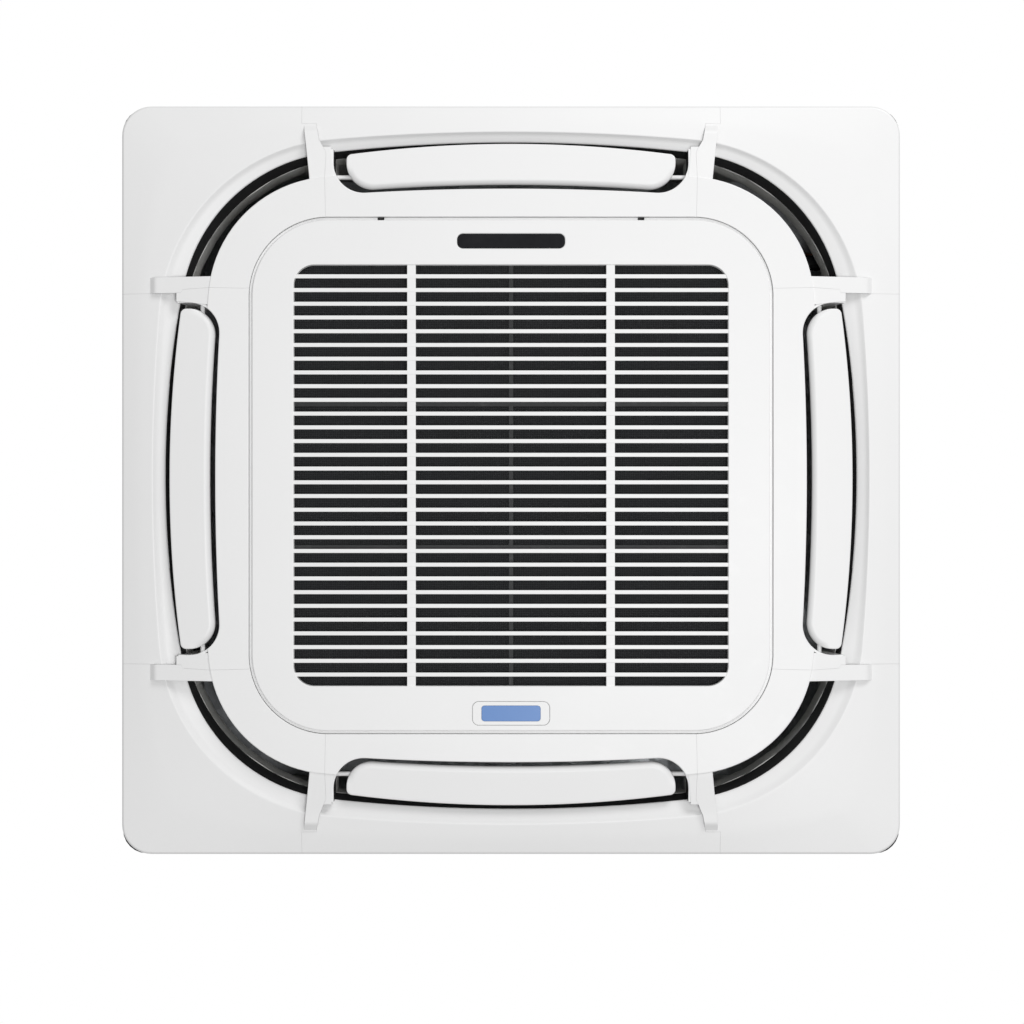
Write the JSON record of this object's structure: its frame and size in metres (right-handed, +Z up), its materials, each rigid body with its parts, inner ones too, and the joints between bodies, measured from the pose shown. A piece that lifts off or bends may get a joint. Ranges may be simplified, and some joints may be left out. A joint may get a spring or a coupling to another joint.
{
  "type": "ceiling cassette air conditioner",
  "caption": "Four-way ceiling cassette air conditioner with a square panel, hinged slatted intake grille, swinging louvers, turbo fan and insulated casing.",
  "frame": {"origin": "middle of the ceiling plane, the face the panel seals against", "axes": "+Z up into the ceiling, +X to the pipe side, +Y to the latch side; the grille faces -Z"},
  "size_m": [0.95, 0.913, 0.285],
  "materials": {
    "white_plastic": "satin",
    "grey_plastic": "matte",
    "dark_plastic": "matte",
    "black_gloss": "gloss",
    "blue_plastic": "satin",
    "black_foam": "matte",
    "black_rubber": "matte",
    "white_foam": "matte",
    "galvanised": "satin",
    "steel": "polished",
    "copper": "satin",
    "brass_nut": "polished",
    "fin_aluminium": "satin",
    "circuit_board": "satin",
    "filter_net": "matte"
  },
  "bodies": {
    "unit": {"panel_frame": "white_plastic", "corner_cover_rear_right": "white_plastic", "corner_cover_rear_left": "white_plastic", "corner_cover_front_left": "white_plastic", "corner_cover_front_right": "white_plastic", "ceiling_seal": "black_foam", "hinge_hook_left": "grey_plastic", "hinge_hook_right": "grey_plastic", "latch_catch": "grey_plastic", "casing_shell": "galvanised", "foam_liner": "white_foam", "top_plate": "galvanised", "drain_pan": "white_foam", "heat_exchanger": "fin_aluminium", "coil_end_plate": "galvanised", "gas_pipe": "copper", "liquid_pipe": "copper", "gas_flare_nut": "brass_nut", "liquid_flare_nut": "brass_nut", "bell_mouth": "grey_plastic", "fan_motor": "galvanised", "motor_bracket": "dark_plastic", "control_box": "galvanised", "control_box_lid": "galvanised", "control_board": "circuit_board", "terminal_block": "black_gloss", "drain_pump": "white_plastic", "float_switch": "dark_plastic", "drain_hose": "black_rubber", "drain_socket": "white_plastic", "cable_gland": "dark_plastic", "louver_motor_rear": "galvanised", "louver_clip_rear": "grey_plastic", "louver_motor_left": "galvanised", "louver_clip_left": "grey_plastic", "louver_motor_front": "galvanised", "louver_clip_front": "grey_plastic", "louver_motor_right": "galvanised", "louver_clip_right": "grey_plastic", "hanger_bracket_rear_right": "galvanised", "hanger_bracket_rear_left": "galvanised", "hanger_bracket_front_left": "galvanised", "hanger_bracket_front_right": "galvanised"},
    "grille": {"intake_grille": "white_plastic", "hinge_pin_left": "steel", "hinge_pin_right": "steel", "display_lens": "black_gloss", "receiver_board": "circuit_board", "latch_spring": "steel", "filter_frame": "dark_plastic", "filter_net": "filter_net"},
    "button": {"latch_button": "white_plastic", "badge_plate": "blue_plastic"},
    "fan": {"fan_impeller": "grey_plastic", "fan_nut": "steel"},
    "float": {"switch_float": "white_plastic"},
    "louver_rear": {"louver_rear": "white_plastic"},
    "louver_left": {"louver_left": "white_plastic"},
    "louver_front": {"louver_front": "white_plastic"},
    "louver_right": {"louver_right": "white_plastic"}
  },
  "joints": [
    {"name": "grille_hinge", "type": "hinge", "parent": "unit", "child": "grille", "pos_m": [0, -0.3098, -0.0323], "axis": [-1, 0, 0], "range_deg": [0, 90]},
    {"name": "latch_press", "type": "slide", "parent": "grille", "child": "button", "axis": [0, 0, 1], "range_m": [0, 0.0025], "stiffness_N_per_m": 400, "springref_m": -0.004, "deforming": ["latch_spring"]},
    {"name": "louver_rear_swing", "type": "hinge", "parent": "unit", "child": "louver_rear", "pos_m": [0, 0.3576, -0.0175], "axis": [-1, 0, 0], "range_deg": [0, 60]},
    {"name": "louver_front_swing", "type": "hinge", "parent": "unit", "child": "louver_front", "pos_m": [0, -0.3686, -0.0175], "axis": [1, 0, 0], "range_deg": [0, 60]},
    {"name": "louver_left_swing", "type": "hinge", "parent": "unit", "child": "louver_left", "pos_m": [-0.3755, -0.0015, -0.0175], "axis": [0, -1, 0], "range_deg": [0, 60]},
    {"name": "louver_right_swing", "type": "hinge", "parent": "unit", "child": "louver_right", "pos_m": [0.3755, -0.0015, -0.0175], "axis": [0, 1, 0], "range_deg": [0, 60]},
    {"name": "fan_spin", "type": "hinge", "parent": "unit", "child": "fan", "pos_m": [0, -0.0055, 0.13], "axis": [0, 0, 1], "continuous": true},
    {"name": "float_rise", "type": "slide", "parent": "unit", "child": "float", "axis": [0, 0, 1], "range_m": [0, 0.015]}
  ]
}
